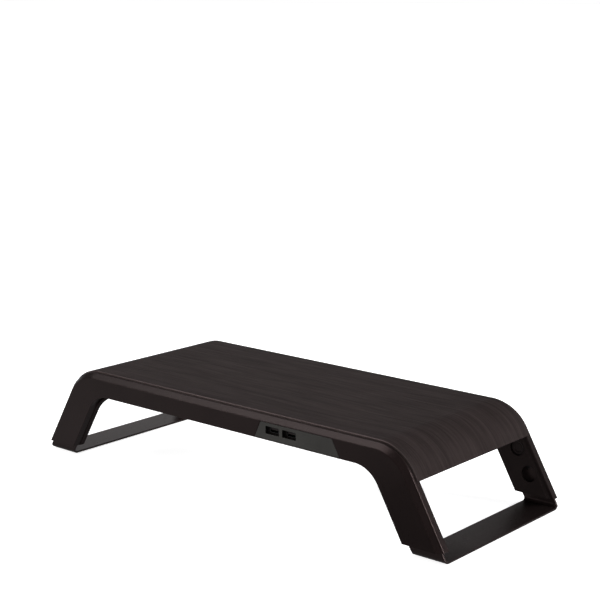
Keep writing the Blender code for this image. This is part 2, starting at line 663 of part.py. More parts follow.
def spring_outline():
    """Side view (along the leg, away from the plate) of the leaf spring under a button."""
    reach = NECK_BACK - BUTTON_BACK - 2 * GAP - SPRING_SHEET
    rise = [(SPRING_BLADE[0], 0.0), (SPRING_RISE[0], 0.0), (SPRING_RISE[1], reach), (SPRING_BLADE[1], reach)]
    return rise + [(s, h + SPRING_SHEET) for s, h in reversed(rise)]


def rivet_mesh():
    """Rivet through spring and plate, axis on local Z, with the spring's outer face at Z = 0."""
    grip = SPRING_SHEET + GAP + PLATE
    far = -grip - RIVET_HEAD
    profile = [(0.0, RIVET_HEAD), (1.4 * MM, 0.8 * MM), (RIVET_HEAD_RADIUS, GAP), (RIVET_RADIUS, GAP),
               (RIVET_RADIUS, -grip - GAP), (RIVET_HEAD_RADIUS, -grip - GAP), (RIVET_HEAD_RADIUS, far),
               (0.0, far)]
    return turned_mesh("spring_rivet", profile, 12)


def rivet_places(side):
    """(x, z) of the rivet in a neck: straight down the leg from the button."""
    return side * (WINDOW_X + RIVET_DOWN * math.cos(LEG_ANGLE)), WINDOW_Z - RIVET_DOWN * SIN


def build_locks(side_name, side, slide, button, rivet):
    """On each neck: a leaf spring on the plate and a push button behind the upper window."""
    lean = -side * (math.pi / 2 - LEG_ANGLE)
    for end_name, end in ENDS.items():
        obj = add_part(f"lock_button_{side_name}_{end_name}", button, "button_plastic", slide)
        obj.matrix_parent_inverse = slide.matrix_world.inverted()
        obj.location = (side * WINDOW_X, end * BUTTON_FACE, WINDOW_Z)
        obj.rotation_euler = (end * math.pi / 2, 0.0, 0.0)

        name = f"latch_spring_{side_name}_{end_name}"
        mesh = plate_mesh(name, spring_outline(), SPRING_WIDTH)
        for vert in mesh.vertices:
            along, out, across = vert.co
            vert.co = (across, end * (NECK_BACK - GAP - out), along)
        bm = bmesh.new()
        bm.from_mesh(mesh)
        bmesh.ops.recalc_face_normals(bm, faces=bm.faces)
        bm.to_mesh(mesh)
        bm.free()
        spring = add_part(name, mesh, "spring_steel", slide)
        spring.matrix_parent_inverse = slide.matrix_world.inverted()
        spring.location = (side * WINDOW_X, 0.0, WINDOW_Z)
        spring.rotation_euler = (0.0, lean, 0.0)
        x, z = rivet_places(side)
        low, high = span(end, NECK_BACK - GAP - SPRING_SHEET - OVERCUT, NECK_BACK + OVERCUT)
        hole = rods_along_y(f"{name}_hole", [(x, z)], RIVET_RADIUS + GAP, low, high, 12)
        boolean(spring, add_cutter(f"{name}_hole", hole))
        rivet_part = add_part(f"spring_rivet_{side_name}_{end_name}", rivet, "screw_steel", slide)
        rivet_part.matrix_parent_inverse = slide.matrix_world.inverted()
        rivet_part.location = (x, end * (NECK_BACK - GAP - SPRING_SHEET), z)
        rivet_part.rotation_euler = (end * math.pi / 2, 0.0, 0.0)


# --- assembly -----------------------------------------------------------------------------
build_deck()
shells = {}
covers = {}
for frame_name, frame_end in ENDS.items():
    shells[frame_name] = build_frame_shell(frame_name, frame_end)
    covers[frame_name] = build_frame_cover(frame_name, frame_end)
build_hub(shells["front"], covers["front"])
build_rails()
build_screws()
button_shape = button_mesh()
rivet_shape = rivet_mesh()
for foot_name, foot_side in SIDES.items():
    slide_axis = bpy.data.objects.new(f"foot_slide_{foot_name}", None)
    slide_axis.location = (foot_side * (LEG_OUTER_X - LEG_SPREAD / 2 - LEG_BOTTOM * COT), 0.0, LEG_BOTTOM)
    slide_axis.rotation_euler = (0.0, -foot_side * (math.pi / 2 - LEG_ANGLE), 0.0)
    parts.objects.link(slide_axis)
    bpy.context.view_layer.update()
    build_foot(foot_name, foot_side, slide_axis)
    build_locks(foot_name, foot_side, slide_axis, button_shape, rivet_shape)
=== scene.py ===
"""Looks of the monitor riser stand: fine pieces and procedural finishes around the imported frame.

Axes as in the frame: X along the deck, -Y is the front, +Z is up. Lengths are in metres.
"""
import json
import math

import bmesh
import bpy
import numpy
from mathutils import Matrix, Vector


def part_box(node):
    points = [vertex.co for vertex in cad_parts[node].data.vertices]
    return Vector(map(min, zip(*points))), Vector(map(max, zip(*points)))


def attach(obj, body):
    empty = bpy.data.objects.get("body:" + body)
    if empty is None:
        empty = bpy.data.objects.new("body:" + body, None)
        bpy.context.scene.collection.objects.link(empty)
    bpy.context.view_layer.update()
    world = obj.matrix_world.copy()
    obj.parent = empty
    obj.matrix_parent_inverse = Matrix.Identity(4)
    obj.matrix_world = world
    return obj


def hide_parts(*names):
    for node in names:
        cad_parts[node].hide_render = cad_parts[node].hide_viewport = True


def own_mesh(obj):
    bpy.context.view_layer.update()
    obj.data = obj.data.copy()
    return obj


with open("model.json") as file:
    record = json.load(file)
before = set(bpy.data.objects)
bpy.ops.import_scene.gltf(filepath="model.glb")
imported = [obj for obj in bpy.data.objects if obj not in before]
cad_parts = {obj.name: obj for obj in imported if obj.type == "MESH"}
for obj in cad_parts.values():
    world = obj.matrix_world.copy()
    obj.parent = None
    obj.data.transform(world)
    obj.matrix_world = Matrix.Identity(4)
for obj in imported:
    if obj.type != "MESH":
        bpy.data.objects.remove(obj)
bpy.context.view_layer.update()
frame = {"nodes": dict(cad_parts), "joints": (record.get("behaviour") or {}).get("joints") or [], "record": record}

NODES = frame["nodes"]
SLOTS = {part["node"]: part["material_slot"] for part in frame["record"]["subparts"]}

# --- sizes ----------------------------------------------------------------------------------
MM = 0.001
shell_low, shell_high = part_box("rear_frame_shell")
cover_low, cover_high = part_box("rear_frame_cover")
deck_low, deck_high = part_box("deck_panel")
foot_low, foot_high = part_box("foot_right")
button_low, button_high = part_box("lock_button_right_rear")

slide_axis = next(joint["axis"] for joint in frame["joints"] if joint["name"] == "foot_slide_right")
LEG_ANGLE = math.acos(abs(slide_axis[0]))
COT = 1 / math.tan(LEG_ANGLE)
SIN = math.sin(LEG_ANGLE)
FACE = shell_high.y                    # the frames' outer faces stand at +-FACE
SHELL_BACK = shell_low.y
COVER_FRONT = cover_high.y
COVER_FACE = cover_low.y
FRAME_TOP = shell_high.z
LEG_BOTTOM = shell_low.z
DECK_TOP = deck_high.z
DECK_SIDE = deck_high.y
LEG_SPREAD = 51.3 * MM                 # width of a leg measured level
LEG_OUTER_X = shell_high.x + LEG_BOTTOM * COT      # outer edge of a leg, carried down to the desk
LEG_INNER_X = LEG_OUTER_X - LEG_SPREAD
RAIL_BOTTOM = 92.2 * MM
OUTER_RADIUS = 54 * MM
INNER_RADIUS = 38 * MM
CHAMFER_RISE = 5.5 * MM                # chamfer of the frames' outer edge, in the plane of the face
CHAMFER_DEPTH = 7 * MM                 # and along the depth
CHAMFER_ROUND = 1.5 * MM
WALL = 1.8 * MM
OUTER_WALL = 3 * MM
GAP = 0.3 * MM
EDGE_ROUND = 0.6 * MM
OVERCUT = 1 * MM
DECK_THICKNESS = 5 * MM
DECK_EDGE = 1 * MM
DECK_EDGE_SEGMENTS = 4
EDGE_FACING = 0.3                      # faces of the deck turned this far to the side are its edge band, with a lighter finish that is partly a painted highlight
DECK_RISE = DECK_TOP - FRAME_TOP
DECK_END_Z = deck_low.z + DECK_THICKNESS * math.cos(LEG_ANGLE)
COVER_INSET = DECK_THICKNESS - DECK_RISE + GAP
COVER_CHAMFER = 3.2 * MM
COVER_CHAMFER_DEPTH = 6 * MM
COVER_LIP = 0.9 * MM                   # a cover stands this much proud along the inner edge
COVER_INNER_RADIUS = 52 * MM
COVER_INSIDE = COVER_FACE + WALL
COVER_ROUND = 0.7 * MM                 # rounding of the corners of a cover's chamfer
BEVEL_ANGLE = math.radians(40)         # edges that turn by more than this are rounded by a bevel
ARC_STEPS = 32

PLATE = 2.5 * MM                       # steel of the feet
BEND_RADIUS = 7 * MM
LEAN_Z = 5 * MM                        # a neck leans from this height up
BEND_STEPS = 12
BEND_Z = foot_low.z + BEND_RADIUS
NECK_FRONT = foot_high.y
NECK_TOP = foot_high.z
PLATE_EDGE = 0.6 * MM
PAD_CORNER = 4 * MM
FOOT_WIDTH = LEG_SPREAD - (OUTER_WALL + WALL + 2 * GAP) / SIN
FOOT_CENTRE = foot_high.x - FOOT_WIDTH / 2
RIVET_HOLE = 1.8 * MM
SPRING_EDGE = 0.1 * MM

WINDOW_RADIUS = 10 * MM
WINDOW_X = (button_low.x + button_high.x) / 2
WINDOW_Z = (button_low.z + button_high.z) / 2
WINDOW_RIM = 0.3 * MM
HEIGHT_STEP = 34 * MM                  # travel of a foot, and the spacing of the two windows

FASCIA_BOTTOM_Z = 93 * MM
FASCIA_TOP_Z = 113.4 * MM
FASCIA_BOTTOM_X = (53 * MM, 180 * MM)
FASCIA_TOP_X = (62 * MM, 169 * MM)
FASCIA_TOP_RADIUS = 3 * MM
FASCIA_BOTTOM_RADIUS = 1 * MM
FASCIA_EDGE = 0.35 * MM
FASCIA_SLANT = 1.5                     # shift of a lower corner along X for each unit of inset
RECESS = (20.6 * MM, 9.2 * MM)
RECESS_CORNER = 1.3 * MM
RECESS_DEPTH = 4.2 * MM
RECESS_WALL = 1.2 * MM
RECESS_FLOOR = 1.4 * MM
SOCKET_CORNER = 0.7 * MM
SOCKET_SHEET = 0.35 * MM
CONTACT_OFFSETS = (-3.5 * MM, -1.0 * MM, 1.0 * MM, 3.5 * MM)
CONTACT_SIZE = (1.0 * MM, 0.22 * MM)
CONTACT_CORNER = 0.08 * MM
UPLINK_CORNER = 1.2 * MM

SCREW_HEAD = 1.7 * MM
SCREW_RADIUS = 1.6 * MM
HOLE_RADIUS = 1.9 * MM
HOLE_RIM = 0.2 * MM
BOSS_RADIUS = 3.6 * MM
RAIL_SHEET = 1.5 * MM
RAIL_BEND = 2.2 * MM

SIDES = {"left": -1, "right": 1}
ENDS = {"front": -1, "rear": 1}
RAILS = ("left", "centre", "right")


# --- procedural finishes --------------------------------------------------------------------
class Finish:
    """A material with a Principled shader, and short calls that add and link nodes."""

    def __init__(self, name, color, roughness, metallic=0.0, specular=0.5, tint=(1.0, 1.0, 1.0)):
        self.material = bpy.data.materials.new(name)
        self.material.use_nodes = True
        self.nodes = self.material.node_tree.nodes
        self.links = self.material.node_tree.links
        self.shader = self.nodes["Principled BSDF"]
        self.feed(self.shader, "Base Color", (*color, 1.0))
        self.feed(self.shader, "Roughness", roughness)
        self.feed(self.shader, "Metallic", metallic)
        self.feed(self.shader, "Specular IOR Level", specular)
        self.feed(self.shader, "Specular Tint", (*tint, 1.0))

    def feed(self, node, key, value):
        socket = node.inputs[key]
        if isinstance(value, bpy.types.NodeSocket):
            self.links.new(value, socket)
        else:
            socket.default_value = value

    def add(self, kind, inputs=None, **settings):
        node = self.nodes.new("ShaderNode" + kind)
        for key, value in settings.items():
            setattr(node, key, value)
        for key, value in (inputs or {}).items():
            self.feed(node, key, value)
        return node

    def coords(self, scale=(1.0, 1.0, 1.0), uv=False):
        """Surface coordinates in metres, stretched by a scale."""
        source = self.add("TexCoord").outputs["UV" if uv else "Object"]
        return self.add("Mapping", {"Vector": source, "Scale": scale}).outputs["Vector"]

    def noise(self, vector, scale, detail=3.0, roughness=0.5, distortion=0.0):
        node = self.add("TexNoise", {"Vector": vector, "Scale": scale, "Detail": detail,
                                     "Roughness": roughness, "Distortion": distortion})
        return node.outputs["Fac"]

    def spread(self, value, low, high, from_low=0.3, from_high=0.7):
        """A noise value, mostly between from_low and from_high, brought into another range."""
        node = self.add("MapRange", {"Value": value, "From Min": from_low, "From Max": from_high,
                                     "To Min": low, "To Max": high})
        return node.outputs["Result"]

    def blend(self, factor, first, second):
        """A colour between two, by a factor; sockets 6 and 7 of the node are its colours."""
        node = self.add("Mix", data_type="RGBA")
        self.feed(node, 0, factor)
        self.feed(node, 6, first if isinstance(first, bpy.types.NodeSocket) else (*first, 1.0))
        self.feed(node, 7, second if isinstance(second, bpy.types.NodeSocket) else (*second, 1.0))
        return node.outputs[2]

    def paint(self, value):
        self.feed(self.shader, "Base Color", value)

    def gloss(self, value):
        self.feed(self.shader, "Roughness", value)

    def relief(self, height, strength, distance):
        bump = self.add("Bump", {"Height": height, "Strength": strength, "Distance": distance})
        self.feed(self.shader, "Normal", bump.outputs["Normal"])


def tinted(color, factor):
    return tuple(channel * factor for channel in color)


WARM = (1.0, 0.72, 0.71)               # cast of the stand's reflections


def moulded(name, color, roughness, specular, grain, relief, tint=WARM):
    """Moulded plastic or paint: faint cloudiness, uneven gloss and a fine texture."""
    finish = Finish(name, color, roughness, specular=specular, tint=tint)
    place = finish.coords()
    clouds = finish.noise(place, 28.0, 4.0)
    finish.paint(finish.blend(finish.spread(clouds, 0.0, 1.0), tinted(color, 0.86), tinted(color, 1.14)))
    finish.gloss(finish.spread(finish.noise(place, 240.0, 5.0, 0.6), roughness - 0.03, roughness + 0.03))
    finish.relief(finish.noise(place, grain, 2.0), relief, 0.1 * MM)
    return finish.material


def wood_laminate():
    """Dark wood grain that runs along the sheet and follows its bend (UV: along, across)."""
    dark = (0.0150, 0.0112, 0.0110)
    light = (0.0395, 0.0302, 0.0295)
    finish = Finish("wood_laminate", light, 0.55, specular=0.06, tint=WARM)
    along = finish.coords(uv=True)
    sway = finish.noise(finish.coords((3.0, 9.0, 1.0), uv=True), 1.0, 2.0)
    bent = finish.add("VectorMath", {0: along}, operation="ADD")
    shift = finish.add("CombineXYZ", {"Y": finish.spread(sway, -0.008, 0.008, 0.2, 0.8)})
    finish.feed(bent, 1, shift.outputs["Vector"])
    place = bent.outputs["Vector"]
    bands = finish.add("Mapping", {"Vector": place, "Scale": (9.0, 130.0, 1.0)}).outputs["Vector"]
    figure = finish.noise(bands, 1.0, 4.0, 0.55, 0.6)
    threads = finish.add("Mapping", {"Vector": place, "Scale": (14.0, 620.0, 1.0)}).outputs["Vector"]
    fibre = finish.noise(threads, 1.0, 4.0, 0.6)
    pores = finish.add("Mapping", {"Vector": place, "Scale": (60.0, 2300.0, 1.0)}).outputs["Vector"]
    pits = finish.noise(pores, 1.0, 2.0)
    mixed = finish.add("Math", {0: finish.spread(figure, 0.0, 0.66), 1: finish.spread(fibre, 0.0, 0.34)},
                       operation="ADD").outputs[0]
    finish.paint(finish.blend(mixed, dark, light))
    finish.gloss(finish.spread(fibre, 0.62, 0.48))
    height = finish.add("Math", {0: fibre, 1: finish.spread(pits, -0.5, 0.0, 0.3, 0.45)}, operation="ADD")
    finish.relief(height.outputs[0], 0.25, 0.15 * MM)
    return finish.material


def brushed(name, color, roughness, scale):
    """Bare metal with fine lines along the scale's short direction."""
    finish = Finish(name, color, roughness, metallic=1.0)
    lines = finish.noise(finish.coords(scale), 1.0, 3.0)
    finish.paint(finish.blend(finish.spread(lines, 0.0, 1.0), tinted(color, 0.8), color))
    finish.gloss(finish.spread(lines, roughness - 0.06, roughness + 0.1))
    finish.relief(lines, 0.08, 0.05 * MM)
    return finish.material


def circuit_board():
    """Solder mask over copper tracks."""
    finish = Finish("circuit_board", (0.012, 0.07, 0.03), 0.35)
    tracks = finish.add("TexBrick", {"Vector": finish.coords(), "Scale": 240.0,
                                     "Color1": (0.012, 0.075, 0.03, 1), "Color2": (0.012, 0.085, 0.034, 1),
                                     "Mortar": (0.02, 0.13, 0.05, 1), "Mortar Size": 0.03})
    finish.paint(tracks.outputs["Color"])
    finish.relief(tracks.outputs["Fac"], 0.2, 0.05 * MM)
    return finish.material


LOOKS = {
    "wood": wood_laminate(),
    # deck_edge_and_highlight: the deck's edge band, partly its own finish and partly a painted highlight: its tone
    # is lighter than the wood to stand for the lit edge
    "deck_edge_and_highlight": moulded("deck_edge_and_highlight", (0.0440, 0.0345, 0.0335), 0.34, 0.60, 1500.0, 0.10),
    "shell_plastic": moulded("shell_plastic", (0.0110, 0.0074, 0.0072), 0.30, 0.23, 2600.0, 0.10),
    "cover_plastic": moulded("cover_plastic", (0.0215, 0.0160, 0.0155), 0.60, 0.10, 1800.0, 0.16),
    "foot_steel": moulded("foot_steel", (0.0110, 0.0078, 0.0076), 0.30, 0.52, 1500.0, 0.05),
    "rail_steel": moulded("rail_steel", (0.0240, 0.0230, 0.0235), 0.45, 0.35, 900.0, 0.14),
    "rubber": moulded("rubber", (0.0120, 0.0120, 0.0120), 0.88, 0.20, 700.0, 0.35),
    "button_plastic": moulded("button_plastic", (0.0130, 0.0105, 0.0102), 0.40, 0.25, 2400.0, 0.10),
    "spring_steel": brushed("spring_steel", (0.055, 0.050, 0.050), 0.45, (2500.0, 300.0, 60.0)),
    "fascia_plastic": moulded("fascia_plastic", (0.0540, 0.0515, 0.0485), 0.38, 0.25, 2600.0, 0.08,
                              (1.0, 1.0, 0.95)),
    # recess: near-black finish for the set-back faces of the fascia, painted shade of its recesses and mouths
    "recess": moulded("recess", (0.0060, 0.0055, 0.0055), 0.60, 0.15, 2600.0, 0.08),
    # socket_metal: the sleeves' very dark tone is painted shade, standing for the shadow deep inside the recess
    "socket_metal": brushed("socket_metal", (0.12, 0.12, 0.125), 0.38, (120.0, 120.0, 2200.0)),
    "tongue_plastic": moulded("tongue_plastic", (0.0120, 0.0120, 0.0130), 0.45, 0.40, 2000.0, 0.10),
    "contact_gold": brushed("contact_gold", (0.83, 0.58, 0.24), 0.25, (1500.0, 90.0, 1500.0)),
    "circuit_board": circuit_board(),
    "screw_steel": brushed("screw_steel", (0.07, 0.07, 0.072), 0.42, (900.0, 900.0, 900.0)),
}


# --- making pieces --------------------------------------------------------------------------
def link(name, mesh):
    obj = bpy.data.objects.new(name, mesh)
    bpy.context.scene.collection.objects.link(obj)
    return obj


def mesh_from(bm, name):
    bm.normal_update()
    bmesh.ops.recalc_face_normals(bm, faces=bm.faces)
    mesh = bpy.data.meshes.new(name)
    bm.to_mesh(mesh)
    bm.free()
    return mesh


def apply_modifiers(obj):
    evaluated = obj.evaluated_get(bpy.context.evaluated_depsgraph_get())
    mesh = bpy.data.meshes.new_from_object(evaluated)
    obj.modifiers.clear()
    obj.data = mesh


def shade(obj, angle=32):
    """Smooth shading that keeps sharp edges and flat faces as they are."""
    apply_modifiers(obj)
    obj.data.shade_smooth()
    obj.data.set_sharp_from_angle(angle=math.radians(angle))
    step = obj.modifiers.new("normals", "WEIGHTED_NORMAL")
    step.keep_sharp = True
    step.weight = 90
    apply_modifiers(obj)


def bevel(obj, width, segments):
    """Round the sharp edges of a piece."""
    step = obj.modifiers.new("edges", "BEVEL")
    step.width = width
    step.segments = segments
    step.limit_method = "ANGLE"
    step.angle_limit = BEVEL_ANGLE
    shade(obj)


def settle(obj, cuts=(), joins=()):
    """Join shapes to a piece, cut others out of it, and keep the result."""
    for operation, tools in (("UNION", joins), ("DIFFERENCE", cuts)):
        for mesh in tools:
            tool = link("tool", mesh)
            step = obj.modifiers.new("tool", "BOOLEAN")
            step.operation = operation
            step.solver = "EXACT"
            step.object = tool
            apply_modifiers(obj)
            bpy.data.objects.remove(tool, do_unlink=True)
            bpy.data.meshes.remove(mesh)
    shade(obj)


def add_piece(name, mesh, look, body, nodes, cuts=(), joins=()):
    """A finished piece: its shape, its finish, the body it rides on and the CAD nodes it stands for."""
    obj = link(name, mesh)
    settle(obj, cuts, joins)
    obj.data.materials.clear()
    obj.data.materials.append(LOOKS[look])
    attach(obj, body)
    if nodes:
        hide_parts(*nodes)
    return obj


def quarter(radius, steps=4):
    """(depth, inset) down a rounded edge, from the face to the side."""
    if radius == 0.0:
        return [(0.0, 0.0)]
    turns = [math.pi / 2 * step / steps for step in range(steps + 1)]
    return [(radius * (1 - math.cos(turn)), radius * (1 - math.sin(turn))) for turn in turns]


def rounded(corners, radii, steps=6, closed=True):
    """A line of corners with each corner rounded to its own radius."""
    outline = []
    last = len(corners) - 1
    for i, (corner, radius) in enumerate(zip(corners, radii)):
        if not closed and i in (0, last):
            outline.append(corner)
            continue
        here = Vector(corner)
        back = (Vector(corners[i - 1]) - here).normalized()
        ahead = (Vector(corners[(i + 1) % len(corners)]) - here).normalized()
        half = back.angle(ahead) / 2
        centre = here + (back + ahead).normalized() * radius / math.sin(half)
        start = here + back * radius / math.tan(half) - centre
        finish = here + ahead * radius / math.tan(half) - centre
        for step in range(steps + 1):
            outline.append(tuple(centre + start.slerp(finish, step / steps) * radius))
    return outline


def add_skin(bm, rings, closed=False):
    """Faces through rings of points; open skins get flat ends."""
    loops = [[bm.verts.new(point) for point in ring] for ring in rings]
    pairs = list(zip(loops, loops[1:]))
    if closed:
        pairs.append((loops[-1], loops[0]))
    for ring, following in pairs:
        for i in range(len(ring)):
            j = (i + 1) % len(ring)
            bm.faces.new((ring[i], ring[j], following[j], following[i]))
    if not closed:
        bm.faces.new(loops[0])
        bm.faces.new(loops[-1])


def skins(name, solids, closed=False):
    bm = bmesh.new()
    for rings in solids:
        add_skin(bm, rings, closed)
    return mesh_from(bm, name)


def prism_rings(ring_at, near, far, near_edge=0.0, far_edge=0.0):
    """Rings of a solid from near to far with rounded ends; ring_at(place, inset) is its outline."""
    way = 1 if far > near else -1
    places = [(near + way * depth, inset) for depth, inset in quarter(near_edge)]
    places += [(far - way * depth, inset) for depth, inset in reversed(quarter(far_edge))]
    return [ring_at(place, inset) for place, inset in places]


def cutter_rings(ring_at, face, back, edge):
    """Rings of a cutter that leaves a rounded rim at the face it enters."""
    way = 1 if back > face else -1
    rings = [ring_at(face - way * OVERCUT, -edge)]
    rings += [ring_at(face + way * depth, -inset) for depth, inset in quarter(edge)]
    return rings + [ring_at(back, 0.0)]


def slot_ring(x, z, size, corner):
    """Outline function of a rounded rectangle in XZ, centred on (x, z)."""
    def ring_at(y, inset):
        half_x = size[0] / 2 - inset
        half_z = size[1] / 2 - inset
        radius = max(corner - inset, 0.05 * MM)
        corners = [(x - half_x, z - half_z), (x + half_x, z - half_z),
                   (x + half_x, z + half_z), (x - half_x, z + half_z)]
        return [(px, y, pz) for px, pz in rounded(corners, [radius] * 4)]
    return ring_at


def plan_ring(x, y, size, corner):
    """Outline function of a rounded rectangle in XY, centred on (x, y)."""
    flat = slot_ring(x, y, size, corner)
    return lambda z, inset: [(px, py, z) for px, _, py in flat(0.0, inset)]


def circle_ring(x, z, radius, segments=64):
    """Outline function of a circle in XZ."""
    turns = [2 * math.pi * i / segments for i in range(segments)]
    return lambda y, inset: [(x + (radius - inset) * math.cos(turn), y, z + (radius - inset) * math.sin(turn))
                             for turn in turns]


def turned(name, profile, segments=48):
    """A solid of revolution about Z from (radius, height) points, axis to axis.

    A third value marks a ring that is a hexagon, and its radius is then across half its flats.
    """
    bm = bmesh.new()
    rings = []
    sixth = math.pi / 3
    for radius, height, *hexagon in profile:
        ring = []
        for i in range(segments if radius else 1):
            turn = 2 * math.pi * i / segments
            reach = radius / math.cos(turn % sixth - sixth / 2) if hexagon else radius
            ring.append(bm.verts.new((reach * math.cos(turn), reach * math.sin(turn), height)))
        rings.append(ring)
    for ring, following in zip(rings, rings[1:]):
        for i in range(segments):
            j = (i + 1) % segments
            corners = [ring[i % len(ring)], ring[j % len(ring)]]
            corners += [following[j % len(following)], following[i % len(following)]]
            bm.faces.new(list(dict.fromkeys(corners)))
    return mesh_from(bm, name)


def turned_piece(name, mesh, look, body, node, place, turn):
    """A turned shape set at a place in the frame, in the stead of a CAD node."""
    mesh = mesh.copy()
    mesh.transform(Matrix.Translation(place) @ turn.to_4x4())
    add_piece(name, mesh, look, body, [node])


# --- arches ---------------------------------------------------------------------------------
def arch(height, foot_x, radius, foot_z):
    """A level line at height, rounded down both legs to foot_z; foot_x is the leg at desk level."""
    centre_x = foot_x - height * COT - radius * math.tan(LEG_ANGLE / 2)
    right = []
    for step in range(ARC_STEPS + 1):
        angle = math.pi / 2 - LEG_ANGLE * step / ARC_STEPS
        right.append((centre_x + radius * math.cos(angle), height - radius + radius * math.sin(angle)))
    right.append((foot_x - foot_z * COT, foot_z))
    left = [(-x, z) for x, z in reversed(right)]
    return left + right


def frame_outline(outer_inset, inner_inset, foot_z):
    """The arch of a frame, drawn in from its outer and inner edges."""
    outer = arch(FRAME_TOP - outer_inset, LEG_OUTER_X - outer_inset / SIN, OUTER_RADIUS - outer_inset, foot_z)
    inner = arch(RAIL_BOTTOM + inner_inset, LEG_INNER_X + inner_inset / SIN, INNER_RADIUS + inner_inset,
                 foot_z)
    return outer + inner[::-1]


def cover_outline(outer_inset, inner_inset, foot_z):
    """The arch of a cover, whose inner edge has a lip and a wider radius."""
    outer = arch(FRAME_TOP - outer_inset, LEG_OUTER_X - outer_inset / SIN, OUTER_RADIUS - outer_inset, foot_z)
    inset = inner_inset - COVER_LIP
    inner = arch(RAIL_BOTTOM + inset, LEG_INNER_X + inset / SIN, COVER_INNER_RADIUS + inner_inset, foot_z)
    return outer + inner[::-1]


def arch_solid(name, sections):
    """A closed solid through arch outlines in XZ, each at its own Y."""
    bm = bmesh.new()
    rings = [[bm.verts.new((x, y, z)) for x, z in outline] for y, outline in sections]
    count = len(rings[0])
    for ring, following in zip(rings, rings[1:]):
        for i in range(count):
            j = (i + 1) % count
            bm.faces.new((ring[i], ring[j], following[j], following[i]))
    for ring in (rings[0], rings[-1]):
        for i in range(count // 2 - 1):
            bm.faces.new((ring[i], ring[i + 1], ring[count - 2 - i], ring[count - 1 - i]))
    return mesh_from(bm, name)


def arch_body(name, outline_at, face_y, way, outer_corners, outer_round, depth):
    """A frame half: its outer edge follows corners of (depth, inset), its inner edge is rounded."""
    reach = 5 * MM
    lead = [(0.0, outer_corners[0][1] + reach)]
    outer = rounded(lead + outer_corners, [outer_round] * (len(outer_corners) + 1), 5, False)[1:]
    inner = [(0.0, EDGE_ROUND)] + quarter(EDGE_ROUND)[1:] + [(depth, 0.0)]
    depths = sorted({round(place, 7) for place, _ in outer + inner})
    sections = []
    for place in depths:
        outer_inset = float(numpy.interp(place, *zip(*outer)))
        inner_inset = float(numpy.interp(place, *zip(*inner)))
        sections.append((face_y + way * place, outline_at(outer_inset, inner_inset, LEG_BOTTOM)))
    return arch_solid(name, sections)


def frame_screws(end_name):
    """(x, z) of the screws that close one frame."""
    names = [name for name in NODES if f"screw_{end_name}" in name and not name.startswith("deck")]
    places = []
    for name in names:
        low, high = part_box(name)
        places.append(((low.x + high.x) / 2, (low.z + high.z) / 2))
    return places


def fascia_ring(y, inset):
    """Outline of the hub's fascia, drawn in by an inset."""
    low_left, low_right = FASCIA_BOTTOM_X
    top_left, top_right = FASCIA_TOP_X
    corners = [(low_left + FASCIA_SLANT * inset, FASCIA_BOTTOM_Z + inset),
               (low_right - FASCIA_SLANT * inset, FASCIA_BOTTOM_Z + inset),
               (top_right - inset, FASCIA_TOP_Z - inset),
               (top_left + inset, FASCIA_TOP_Z - inset)]
    low = max(FASCIA_BOTTOM_RADIUS - inset, 0.2 * MM)
    top = FASCIA_TOP_RADIUS - inset
    return [(x, y, z) for x, z in rounded(corners, (low, low, top, top), 8)]


def build_shell(end_name, end):
    """Outer moulding: chamfered edge, hollow behind, a boss for every screw, the fascia's opening."""
    corners = [(0.0, CHAMFER_RISE), (CHAMFER_DEPTH, 0.0), (FACE - SHELL_BACK, 0.0)]
    body = arch_body(f"{end_name}_moulding", frame_outline, end * FACE, -end, corners, CHAMFER_ROUND,
                     FACE - SHELL_BACK)
    open_z = LEG_BOTTOM - OVERCUT
    pocket = arch_solid("pocket", [
        (end * (FACE - WALL), frame_outline(CHAMFER_RISE + WALL, WALL, open_z)),
        (end * (FACE - CHAMFER_DEPTH), frame_outline(OUTER_WALL, WALL, open_z)),
        (end * (SHELL_BACK - OVERCUT), frame_outline(OUTER_WALL, WALL, open_z)),
    ])
    screws = frame_screws(end_name)
    inner_y = end * (COVER_INSIDE + GAP)
    boss_end = end * (FACE - WALL / 2)
    bosses = [prism_rings(circle_ring(x, z, BOSS_RADIUS, 40), inner_y, boss_end) for x, z in screws]
    holes = [prism_rings(circle_ring(x, z, HOLE_RADIUS, 24), inner_y - end * OVERCUT, end * (FACE - WALL))
             for x, z in screws]
    obj = link(f"{end_name}_moulding", body)
    settle(obj, cuts=[pocket])
    settle(obj, joins=[skins("bosses", bosses)])
    cuts = [skins("holes", holes)]
    if end_name == "front":
        opening = cutter_rings(fascia_ring, -FACE, WALL + OVERCUT - FACE, FASCIA_EDGE)
        cuts.append(skins("opening", [opening]))
    settle(obj, cuts=cuts)
    obj.data.materials.clear()
    obj.data.materials.append(LOOKS["shell_plastic"])
    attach(obj, "stand")
    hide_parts(f"{end_name}_frame_shell")


